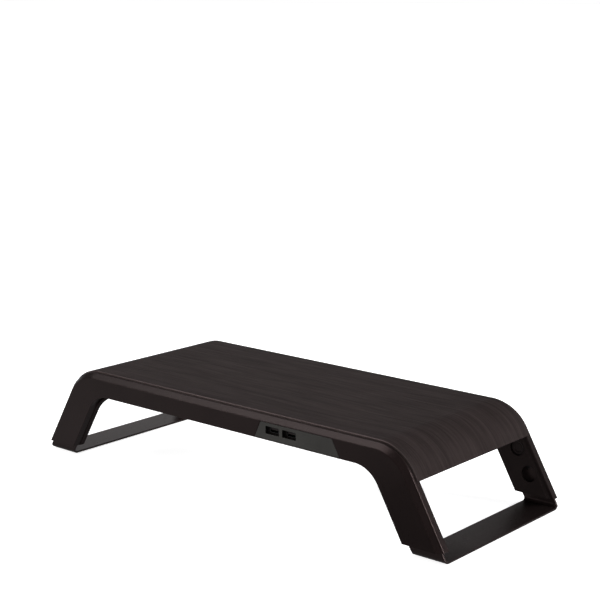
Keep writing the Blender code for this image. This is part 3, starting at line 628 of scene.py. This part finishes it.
def build_cover(end_name, end):
    """Inner cover: a tray that closes the channel, with two rimmed windows in each leg."""
    depth = COVER_FRONT - COVER_FACE
    chamfer_inset = COVER_INSET + COVER_CHAMFER
    corners = [(0.0, chamfer_inset), (COVER_CHAMFER_DEPTH, COVER_INSET), (depth, COVER_INSET)]
    body = arch_body(f"{end_name}_cover", cover_outline, end * COVER_FACE, end, corners,
                     COVER_ROUND, depth)
    closed_z = LEG_BOTTOM + WALL
    pocket = arch_solid("pocket", [
        (end * (COVER_FRONT + OVERCUT), cover_outline(COVER_INSET + WALL, WALL, closed_z)),
        (end * (COVER_FACE + COVER_CHAMFER_DEPTH + EDGE_ROUND),
         cover_outline(COVER_INSET + WALL, WALL, closed_z)),
        (end * COVER_INSIDE, cover_outline(chamfer_inset + OVERCUT, WALL, closed_z)),
    ])
    face = end * COVER_FACE
    through = end * (COVER_INSIDE + OVERCUT)
    windows = []
    for side in SIDES.values():
        for down in (0.0, HEIGHT_STEP):
            place = (side * (WINDOW_X + down * math.cos(LEG_ANGLE)), WINDOW_Z - down * SIN)
            windows.append(cutter_rings(circle_ring(*place, WINDOW_RADIUS), face, through, WINDOW_RIM))
    holes = [cutter_rings(circle_ring(x, z, HOLE_RADIUS, 24), face, through, HOLE_RIM)
             for x, z in frame_screws(end_name)]
    cuts = [pocket, skins("windows", windows), skins("holes", holes)]
    if end_name == "front":
        low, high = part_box("uplink_inlet")
        size = (high.x - low.x + 2 * GAP, high.z - low.z + 2 * GAP)
        ring_at = slot_ring((low.x + high.x) / 2, (low.z + high.z) / 2, size, UPLINK_CORNER)
        cuts.append(skins("uplink_hole", [cutter_rings(ring_at, face, through, HOLE_RIM)]))
    add_piece(f"{end_name}_cover", body, "cover_plastic", "stand", [f"{end_name}_frame_cover"], cuts=cuts)


# --- deck -----------------------------------------------------------------------------------
def build_deck():
    outer = arch(DECK_TOP, LEG_OUTER_X + DECK_RISE / SIN, OUTER_RADIUS + DECK_RISE, DECK_END_Z)
    under = DECK_THICKNESS - DECK_RISE
    inner = arch(FRAME_TOP - under, LEG_OUTER_X - under / SIN, OUTER_RADIUS - under, deck_low.z)
    runs = [0.0]
    for (x0, z0), (x1, z1) in zip(outer, outer[1:]):
        runs.append(runs[-1] + math.hypot(x1 - x0, z1 - z0))
    outline = outer + inner[::-1]
    lengths = runs + runs[::-1]
    mesh = arch_solid("deck_board", [(-DECK_SIDE, outline), (DECK_SIDE, outline)])
    layer = mesh.uv_layers.new(name="grain")
    along = {(round(x, 5), round(z, 5)): run for (x, z), run in zip(outline, lengths)}
    for loop in mesh.loops:
        x, y, z = mesh.vertices[loop.vertex_index].co
        layer.data[loop.index].uv = (along[(round(x, 5), round(z, 5))], y)
    deck = link("deck_board", mesh)
    bevel(deck, DECK_EDGE, DECK_EDGE_SEGMENTS)
    deck.data.materials.append(LOOKS["wood"])
    deck.data.materials.append(LOOKS["deck_edge_and_highlight"])
    # Side-facing faces take the lighter edge finish, partly a painted highlight along the lit edge.
    for face in deck.data.polygons:
        face.material_index = 1 if abs(face.normal.y) > EDGE_FACING else 0
    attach(deck, "stand")
    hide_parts("deck_panel")


# --- USB hub --------------------------------------------------------------------------------
def box_of(name):
    """Centre and size of a CAD node's box."""
    low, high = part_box(name)
    return (low + high) / 2, high - low


def build_fascia():
    """Insert in the front rail, with a rounded recess and a mouth for each port."""
    face = -FACE
    floor = face + RECESS_DEPTH
    plate = prism_rings(lambda y, inset: fascia_ring(y, GAP + inset), face, face + WALL, FASCIA_EDGE)
    body = skins("fascia", [plate])
    wells = []
    recesses = []
    mouths = []
    for side_name in SIDES:
        centre, size = box_of(f"usb_socket_{side_name}")
        well = (RECESS[0] + 2 * RECESS_WALL, RECESS[1] + 2 * RECESS_WALL)
        wells.append(prism_rings(slot_ring(centre.x, centre.z, well, RECESS_CORNER + RECESS_WALL),
                                 face + WALL / 2, floor + RECESS_FLOOR, 0.0, 0.3 * MM))
        recess = slot_ring(centre.x, centre.z, RECESS, RECESS_CORNER)
        recesses.append(cutter_rings(recess, face, floor, 0.4 * MM))
        mouth = slot_ring(centre.x, centre.z, (size.x + 2 * GAP, size.z + 2 * GAP), SOCKET_CORNER + GAP)
        mouths.append(cutter_rings(mouth, floor, floor + RECESS_FLOOR + OVERCUT, 0.25 * MM))
    fascia = add_piece("fascia", body, "fascia_plastic", "stand", ["hub_fascia"],
                       joins=[skins("wells", wells)],
                       cuts=[skins("recesses", recesses), skins("mouths", mouths)])
    # Faces set back behind the fascia's front face take the near-black recess finish: painted shade of the
    # recesses and mouths.
    fascia.data.materials.append(LOOKS["recess"])
    for polygon in fascia.data.polygons:
        polygon.material_index = 1 if polygon.center.y > face + EDGE_ROUND else 0


def sleeve_rings(name, corner, near_y, far_y):
    """Rings of a thin rounded tube that fills a CAD node's box."""
    centre, size = box_of(name)
    outer = slot_ring(centre.x, centre.z, (size.x, size.z), corner)
    lip = 0.08 * MM
    way = 1 if far_y > near_y else -1
    return [outer(near_y, lip), outer(near_y + way * lip, 0.0), outer(far_y, 0.0),
            outer(far_y, SOCKET_SHEET), outer(near_y + way * lip, SOCKET_SHEET),
            outer(near_y, SOCKET_SHEET - lip)]


def build_ports():
    """USB-A sleeves and tongues with four contacts each, and the uplink inlet at the back."""
    for side_name in SIDES:
        node = f"usb_socket_{side_name}"
        low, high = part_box(node)
        sleeve = skins(node, [sleeve_rings(node, SOCKET_CORNER, low.y, high.y)], True)
        add_piece(f"port_sleeve_{side_name}", sleeve, "socket_metal", "stand", [node])
        node = f"usb_tongue_{side_name}"
        centre, size = box_of(node)
        low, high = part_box(node)
        ring_at = slot_ring(centre.x, centre.z, (size.x, size.z), 0.3 * MM)
        tongue = skins(node, [prism_rings(ring_at, low.y, high.y, 0.3 * MM, 0.0)])
        add_piece(f"port_tongue_{side_name}", tongue, "tongue_plastic", "stand", [node])
        strips = []
        for offset in CONTACT_OFFSETS:
            strip = slot_ring(centre.x + offset, low.z - 0.05 * MM, CONTACT_SIZE, CONTACT_CORNER)
            strips.append(prism_rings(strip, low.y + 0.7 * MM, high.y - 0.5 * MM, 0.1 * MM, 0.0))
        add_piece(f"port_contacts_{side_name}", skins("contacts", strips), "contact_gold", "stand", [])
    low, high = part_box("uplink_inlet")
    centre, size = box_of("uplink_inlet")
    ring_at = slot_ring(centre.x, centre.z, (size.x, size.z), UPLINK_CORNER)
    inlet = skins("inlet", [prism_rings(ring_at, high.y, low.y, 0.12 * MM, 0.0)])
    bore = [ring_at(high.y + OVERCUT, SOCKET_SHEET), ring_at(low.y + 2 * GAP, SOCKET_SHEET)]
    add_piece("uplink_sleeve", inlet, "socket_metal", "stand", ["uplink_inlet"], cuts=[skins("bore", [bore])])
    tongue = slot_ring(centre.x, centre.z, (0.55 * size.x, 0.2 * size.z), 0.2 * MM)
    blade = skins("uplink_tongue", [prism_rings(tongue, high.y - MM, low.y + 2 * GAP, 0.2 * MM)])
    add_piece("uplink_tongue", blade, "tongue_plastic", "stand", [])
    low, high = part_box("uplink_collar")
    centre, size = box_of("uplink_collar")
    inlet_size = box_of("uplink_inlet")[1]
    outer = slot_ring(centre.x, centre.z, (size.x, size.z), 2.2 * MM)
    inner = slot_ring(centre.x, centre.z, (inlet_size.x + 2 * GAP, inlet_size.z + 2 * GAP), 1.4 * MM)
    ring = skins("collar", [prism_rings(outer, high.y, low.y, 0.6 * MM, 0.0)])
    hole = skins("hole", [cutter_rings(inner, high.y, low.y - OVERCUT, 0.4 * MM)])
    add_piece("uplink_surround", ring, "cover_plastic", "stand", ["uplink_collar"], cuts=[hole])


# --- feet, locks and rails ------------------------------------------------------------------
def foot_ring(across, inset):
    """Side outline of the bent plate: up one neck, along the floor, up the other."""
    points = []
    for shift in (inset, PLATE - inset):
        radius = BEND_RADIUS - shift
        front = [(shift - NECK_FRONT, NECK_TOP - inset)]
        for step in range(BEND_STEPS + 1):
            angle = math.pi + math.pi / 2 * step / BEND_STEPS
            front.append((BEND_RADIUS - NECK_FRONT + radius * math.cos(angle),
                          BEND_Z + radius * math.sin(angle)))
        path = front + [(-y, z) for y, z in reversed(front)]
        points += path if shift == inset else path[::-1]
    return [(across, y, z) for y, z in points]


def build_foot(side_name, side):
    half = FOOT_WIDTH / 2
    mesh = skins(f"foot_{side_name}", [prism_rings(foot_ring, -half, half, PLATE_EDGE, PLATE_EDGE)])
    for vert in mesh.vertices:
        lean = max(0.0, vert.co.z - LEAN_Z) * COT
        vert.co.x = side * (FOOT_CENTRE + vert.co.x - lean)
    if side < 0:
        mesh.flip_normals()
    rivet = box_of(f"spring_rivet_{side_name}_rear")[0]
    hole = skins("hole", [prism_rings(circle_ring(rivet.x, rivet.z, RIVET_HOLE, 24), -FACE, FACE)])
    body = f"foot_{side_name}"
    add_piece(f"foot_plate_{side_name}", mesh, "foot_steel", body, [f"foot_{side_name}"], cuts=[hole])
    for end_name in ENDS:
        node = f"foot_pad_{side_name}_{end_name}"
        low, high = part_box(node)
        centre, size = box_of(node)
        ring_at = plan_ring(centre.x, centre.y, (size.x, size.y), PAD_CORNER)
        pad = skins(node, [prism_rings(ring_at, low.z, high.z, 0.25 * MM, 0.15 * MM)])
        add_piece(f"pad_{side_name}_{end_name}", pad, "rubber", body, [node])


def build_locks():
    """Push buttons with a dished face, and the rivets of their springs."""
    flange = 1.2 * MM
    thickness = button_high.y - button_low.y
    radius = (button_high.x - button_low.x) / 2 - flange
    rim = flange - thickness
    dish = [(0.0, -1.32 * MM), (3.6 * MM, -1.30 * MM), (5.1 * MM, -1.20 * MM), (5.8 * MM, -0.92 * MM),
            (6.2 * MM, -0.42 * MM), (6.5 * MM, -0.16 * MM), (6.9 * MM, -0.03 * MM), (7.4 * MM, 0.0),
            (8.2 * MM, -0.05 * MM), (8.8 * MM, -0.22 * MM), (radius - 0.1 * MM, -0.46 * MM),
            (radius, -0.75 * MM)]
    side_wall = [(radius, rim), (radius + flange - 0.2 * MM, rim), (radius + flange, rim - 0.2 * MM),
                 (radius + flange, -thickness), (0.0, -thickness)]
    button = turned("button", dish + side_wall, 72)
    low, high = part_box("spring_rivet_right_rear")
    grip = high.y - low.y
    head = 0.9 * MM
    wide = (high.x - low.x) / 2
    rivet = turned("rivet", [(0.0, head), (0.9 * MM, 0.86 * MM), (1.5 * MM, 0.72 * MM), (2.0 * MM, 0.5 * MM),
                             (wide, GAP), (1.5 * MM, GAP), (1.5 * MM, 2 * head - grip),
                             (wide, 2 * head - grip), (wide - 0.2 * MM, head - grip), (0.0, head - grip)], 36)
    for side_name in SIDES:
        for end_name, end in ENDS.items():
            turn = Matrix.Rotation(end * math.pi / 2, 3, "X")
            node = f"lock_button_{side_name}_{end_name}"
            centre = box_of(node)[0]
            place = Vector((centre.x, end * min(abs(button_low.y), abs(button_high.y)), centre.z))
            turned_piece(f"button_{side_name}_{end_name}", button, "button_plastic", node, node, place, turn)
            node = f"spring_rivet_{side_name}_{end_name}"
            centre = box_of(node)[0]
            place = Vector((centre.x, end * (min(abs(low.y), abs(high.y)) + head), centre.z))
            turned_piece(f"rivet_{side_name}_{end_name}", rivet, "screw_steel", f"foot_{side_name}", node,
                         place, turn)


def build_springs():
    """Leaf springs behind the buttons, with rounded edges, riding on their feet."""
    for side_name in SIDES:
        for end_name, end in ENDS.items():
            node = f"latch_spring_{side_name}_{end_name}"
            leaf = link(f"leaf_{side_name}_{end_name}", NODES[node].data.copy())
            bevel(leaf, SPRING_EDGE, 2)
            leaf.data.materials.clear()
            leaf.data.materials.append(LOOKS["spring_steel"])
            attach(leaf, f"foot_{side_name}")
            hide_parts(node)
            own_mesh(leaf)


def screw(length):
    """A button-head screw along Z with a hexagon socket, bearing face at Z = 0."""
    socket = 1.05 * MM
    return turned("screw", [
        (0.0, 0.45 * MM), (socket, 0.55 * MM, True), (socket, 1.6 * MM, True), (1.45 * MM, SCREW_HEAD),
        (2.0 * MM, 1.62 * MM), (2.5 * MM, 1.38 * MM), (2.9 * MM, 0.98 * MM), (3.12 * MM, 0.5 * MM),
        (3.2 * MM, 0.15 * MM), (3.1 * MM, 0.0), (SCREW_RADIUS, 0.0), (SCREW_RADIUS, 0.4 * MM - length),
        (SCREW_RADIUS - 0.4 * MM, -length), (0.0, -length)])


def build_screws():
    for name in [name for name in NODES if "_screw_" in name]:
        low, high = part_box(name)
        centre, size = box_of(name)
        if name.startswith("deck"):
            place = Vector((centre.x, centre.y, low.z + SCREW_HEAD))
            turn = Matrix.Rotation(math.pi, 3, "X")
            length = size.z - SCREW_HEAD
        else:
            end = math.copysign(1, centre.y)
            place = Vector((centre.x, end * (min(abs(low.y), abs(high.y)) + SCREW_HEAD), centre.z))
            turn = Matrix.Rotation(end * math.pi / 2, 3, "X")
            length = size.y - SCREW_HEAD
        turned_piece(f"fine_{name}", screw(length), "screw_steel", "stand", name, place, turn)


def build_rails():
    """Pressed trays with rounded bends, open below, that tie the two frames together."""
    for number, place in enumerate(RAILS, 1):
        node = f"cross_rail_{place}"
        low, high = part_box(node)
        centre, size = box_of(node)
        outer = plan_ring(centre.x, centre.y, (size.x, size.y), RAIL_BEND)
        inner = plan_ring(centre.x, centre.y, (size.x - 2 * RAIL_SHEET, size.y - 2 * RAIL_SHEET),
                          RAIL_BEND - RAIL_SHEET)
        tray = skins(node, [prism_rings(outer, high.z, low.z, RAIL_BEND)])
        hollow = prism_rings(inner, high.z - RAIL_SHEET, low.z - OVERCUT, RAIL_BEND - RAIL_SHEET)
        deck_screw = box_of(f"deck_screw_rear_{number}")[0]
        tops = []
        for end in ENDS.values():
            flat = circle_ring(deck_screw.x, end * deck_screw.y, HOLE_RADIUS, 24)
            tops.append([[(x, y, z) for x, _, y in flat(0.0, 0.0)]
                         for z in (high.z + OVERCUT, high.z - RAIL_SHEET - OVERCUT)])
        end_screw = box_of(f"rail_screw_rear_{number}")[0]
        ends = [prism_rings(circle_ring(end_screw.x, end_screw.z, HOLE_RADIUS, 24),
                            low.y - OVERCUT, high.y + OVERCUT)]
        add_piece(f"rail_{place}", tray, "rail_steel", "stand", [node],
                  cuts=[skins("hollow", [hollow]), skins("tops", tops), skins("ends", ends)])


for end_name, end in ENDS.items():
    build_shell(end_name, end)
    build_cover(end_name, end)
build_deck()
build_fascia()
build_ports()
for side_name, side in SIDES.items():
    build_foot(side_name, side)
build_locks()
build_springs()
build_screws()
build_rails()

for name, node in NODES.items():
    if node.hide_render:
        continue
    node.data.materials.clear()
    node.data.materials.append(LOOKS[SLOTS[name]])


# --- stage ----------------------------------------------------------------------------------
FLOOR_HALF = 400.0
FLOOR_DROP = 0.1 * MM                  # keeps the floor clear of the pads
FLOOR_GLOW = 0.85
SKY_BELOW = 0.19
SKY_ABOVE = 0.08
SKY_BAND = ((0.488, 0.19), (0.493, 1.0), (0.516, 1.0), (0.540, 0.12))   # (height, value), 0.5 is level

CAMERA_PLACE = (1.13902, -1.33399, 0.58952)
CAMERA_YAW = 0.69961                   # turns in radians
CAMERA_PITCH = 0.20271
CAMERA_ROLL = 0.00544
CAMERA_LENS = 86.98                    # in millimetres, as the sensor
CAMERA_SENSOR = 36.0
CAMERA_REACH = 2000.0


def build_floor():
    half = FLOOR_HALF
    mesh = bpy.data.meshes.new("floor")
    corners = [(-half, -half, 0), (half, -half, 0), (half, half, 0), (-half, half, 0)]
    mesh.from_pydata(corners, [], [(0, 1, 2, 3)])
    floor = link("floor", mesh)
    floor.location.z = -FLOOR_DROP
    finish = Finish("floor_paint", (0.90, 0.90, 0.90), 0.9, specular=0.0)
    faint = finish.noise(finish.coords(), 3.0)
    finish.gloss(finish.spread(faint, 0.85, 0.95))
    finish.feed(finish.shader, "Emission Color", (1.0, 1.0, 1.0, 1.0))
    finish.feed(finish.shader, "Emission Strength", FLOOR_GLOW)
    mesh.materials.append(finish.material)
    floor.visible_glossy = False
    floor.visible_diffuse = False


def sun(name, direction, strength, angle, glossy=True):
    """A soft light from a direction; one that isn't glossy leaves no highlight."""
    data = bpy.data.lights.new(name, "SUN")
    data.energy = strength
    data.angle = math.radians(angle)
    lamp = bpy.data.objects.new(name, data)
    lamp.rotation_euler = Vector(direction).to_track_quat("Z", "Y").to_euler()
    lamp.visible_glossy = glossy
    bpy.context.scene.collection.objects.link(lamp)


def panel(name, centre, toward, size, radiance):
    """A soft box or card that glows evenly."""
    data = bpy.data.lights.new(name, "AREA")
    data.shape = "RECTANGLE"
    data.size, data.size_y = size
    data.energy = radiance * math.pi * size[0] * size[1]
    lamp = bpy.data.objects.new(name, data)
    lamp.location = centre
    lamp.rotation_euler = (Vector(centre) - Vector(toward)).to_track_quat("Z", "Y").to_euler()
    lamp.visible_camera = False
    bpy.context.scene.collection.objects.link(lamp)


def grey(value):
    return (value, value, value, 1)


def build_world():
    """Dim surroundings with a bright band at the horizon."""
    world = bpy.data.worlds.new("studio")
    bpy.context.scene.world = world
    world.use_nodes = True
    nodes = world.node_tree.nodes
    links = world.node_tree.links
    direction = nodes.new("ShaderNodeTexCoord")
    split = nodes.new("ShaderNodeSeparateXYZ")
    links.new(direction.outputs["Generated"], split.inputs[0])
    shade_ramp = nodes.new("ShaderNodeValToRGB")
    stops = shade_ramp.color_ramp.elements
    stops[0].position = 0.0
    stops[0].color = grey(SKY_BELOW)
    stops[1].position = 1.0
    stops[1].color = grey(SKY_ABOVE)
    for position, value in SKY_BAND:
        stop = stops.new(position)
        stop.color = grey(value)
    half = nodes.new("ShaderNodeMapRange")
    half.inputs["From Min"].default_value = -1.0
    links.new(split.outputs["Z"], half.inputs["Value"])
    links.new(half.outputs["Result"], shade_ramp.inputs["Fac"])
    links.new(shade_ramp.outputs["Color"], nodes["Background"].inputs["Color"])


def build_camera():
    yaw = CAMERA_YAW
    pitch = CAMERA_PITCH
    roll = CAMERA_ROLL
    forward = Vector((-math.sin(yaw) * math.cos(pitch), math.cos(yaw) * math.cos(pitch), -math.sin(pitch)))
    right = Vector((math.cos(yaw), math.sin(yaw), 0.0))
    up = right.cross(forward)
    turned_right = right * math.cos(roll) + up * math.sin(roll)
    turned_up = up * math.cos(roll) - right * math.sin(roll)
    data = bpy.data.cameras.new("camera")
    data.lens = CAMERA_LENS
    data.sensor_width = CAMERA_SENSOR
    data.clip_end = CAMERA_REACH
    camera = bpy.data.objects.new("camera", data)
    turn = Matrix((turned_right, turned_up, -forward)).transposed()
    camera.matrix_world = Matrix.Translation(CAMERA_PLACE) @ turn.to_4x4()
    bpy.context.scene.collection.objects.link(camera)
    bpy.context.scene.camera = camera


build_floor()
build_world()
# Suns: direction, strength and width in degrees. Key for the chamfers, rim for the bent end of the
# deck, fill and back for the vertical faces, without highlights.
sun("key", (-0.40, -0.10, 0.911), 1.15, 42)
sun("rim", (0.82, 0.38, 0.42), 2.5, 20)
sun("fill", (0.55, -0.82, 0.15), 0.88, 30, glossy=False)
sun("back", (-0.05, 0.985, 0.12), 1.4, 25, glossy=False)
# Panels: centre, point they face, size and radiance. The front faces mirror the floor card, and the
# deck and the foot bars mirror the back card.
panel("front_box", (-1.2, -1.4, 0.9), (0.0, 0.0, 0.1), (0.5, 0.5), 8.0)
panel("floor_card", (-0.39, -0.54, 0.002), (-0.39, -0.54, 1.0), (0.95, 0.80), 0.31)
panel("rear_floor_card", (0.0, 0.80, 0.002), (0.0, 0.80, 1.0), (1.6, 1.0), 0.33)
panel("back_card", (-1.7, 1.8, 0.75), (0.0, 0.0, 0.1), (1.4, 0.7), 0.32)
build_camera()
bpy.context.scene.view_settings.view_transform = "Standard"
